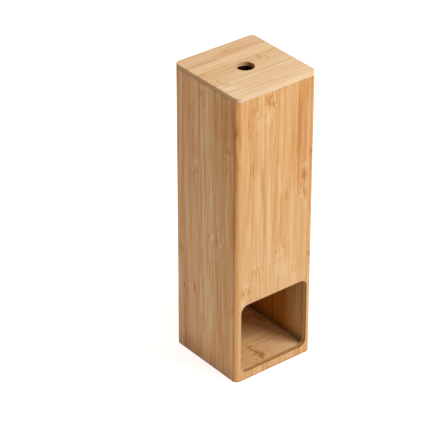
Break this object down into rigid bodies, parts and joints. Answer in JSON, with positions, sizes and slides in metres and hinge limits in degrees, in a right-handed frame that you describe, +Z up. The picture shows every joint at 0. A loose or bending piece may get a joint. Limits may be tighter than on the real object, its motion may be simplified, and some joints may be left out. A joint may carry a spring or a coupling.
{
  "type": "toilet paper stand",
  "caption": "Tall square bamboo box with a lift-off lid and a rounded opening low in front, which stores toilet rolls in a stack and gives them out at the bottom.",
  "frame": {"origin": "middle of the base, on the surface that the box stands on", "axes": "+Z up along the box, -Y out of the front with the opening, +X to the right of someone facing the front"},
  "size_m": [0.14, 0.14, 0.465],
  "materials": {
    "bamboo_front": "satin clear lacquer over carbonised bamboo strips, grain upright",
    "bamboo_side": "satin clear lacquer over carbonised bamboo strips, grain upright",
    "bamboo_floor": "satin clear lacquer over bamboo strips, grain from left to right",
    "bamboo_lid": "satin clear lacquer over bamboo strips, grain from left to right",
    "bamboo_cleat": "planed bamboo strip, satin"
  },
  "bodies": {
    "case": {"front_panel": "bamboo_front", "back_panel": "bamboo_front", "left_panel": "bamboo_side", "right_panel": "bamboo_side", "floor_board": "bamboo_floor"},
    "lid": {"lid_board": "bamboo_lid", "lid_cleat_left": "bamboo_cleat", "lid_cleat_right": "bamboo_cleat"}
  },
  "joints": [
    {"name": "lid_lift", "type": "slide", "parent": "case", "child": "lid", "axis": [0, 0, 1], "range_m": [0, 0.15]}
  ]
}
